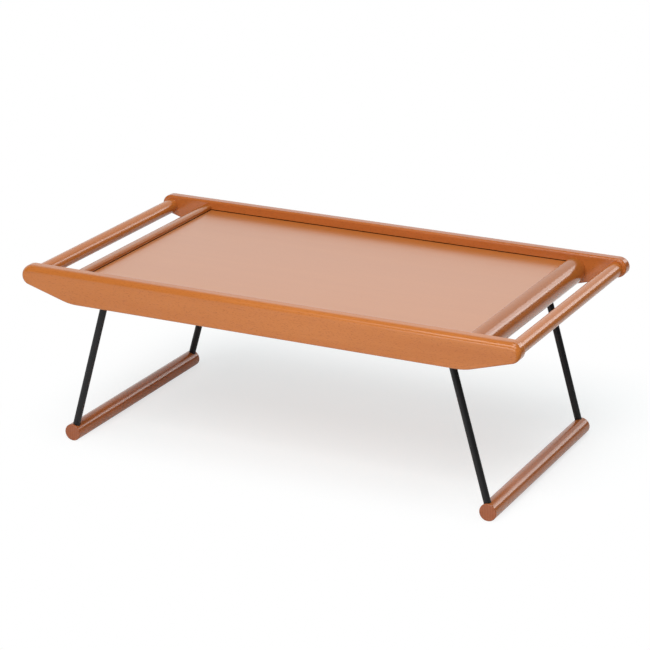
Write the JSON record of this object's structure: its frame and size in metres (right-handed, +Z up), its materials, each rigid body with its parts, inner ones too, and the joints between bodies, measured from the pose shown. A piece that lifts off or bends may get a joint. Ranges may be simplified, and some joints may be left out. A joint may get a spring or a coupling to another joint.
{
  "type": "bed tray table",
  "caption": "Low bed tray table with boat-shaped wooden side rails, grip bars, a sunk panel and two folding steel-rod legs with wooden foot bars.",
  "frame": {"origin": "on the floor under the middle of the tray, legs open", "axes": "+X along the tray to its right end, +Y to its back, +Z up"},
  "size_m": [0.7, 0.383, 0.248],
  "materials": {
    "lacquered_beech": "stained cherry brown, glossy lacquer",
    "foot_beech": "stained cherry brown, glossy lacquer",
    "panel_veneer": "stained veneer, satin lacquer",
    "raw_beech": "unfinished",
    "black_steel": "matt black powder coat",
    "bush_nylon": "moulded, matt",
    "zinc_screw": "zinc plated"
  },
  "bodies": {
    "tray": {"side_rail_front": "lacquered_beech", "side_rail_back": "lacquered_beech", "end_rail_left": "lacquered_beech", "end_rail_right": "lacquered_beech", "tray_panel": "panel_veneer", "handle_left": "lacquered_beech", "handle_right": "lacquered_beech", "stop_batten_left": "lacquered_beech", "stop_batten_right": "lacquered_beech", "batten_screws": "zinc_screw", "corner_dowels": "raw_beech", "pivot_bush_left_front": "bush_nylon", "pivot_bush_left_back": "bush_nylon", "pivot_bush_right_front": "bush_nylon", "pivot_bush_right_back": "bush_nylon"},
    "leg_left": {"foot_left": "foot_beech", "leg_rod_left_front": "black_steel", "leg_rod_left_back": "black_steel"},
    "leg_right": {"foot_right": "foot_beech", "leg_rod_right_front": "black_steel", "leg_rod_right_back": "black_steel"}
  },
  "joints": [
    {"name": "leg_left_fold", "type": "hinge", "parent": "tray", "child": "leg_left", "pos_m": [-0.24064, 0, 0.2185], "axis": [0, -1, 0], "range_deg": [0, 105]},
    {"name": "leg_right_fold", "type": "hinge", "parent": "tray", "child": "leg_right", "pos_m": [0.24064, 0, 0.2185], "axis": [0, 1, 0], "range_deg": [0, 105]}
  ]
}
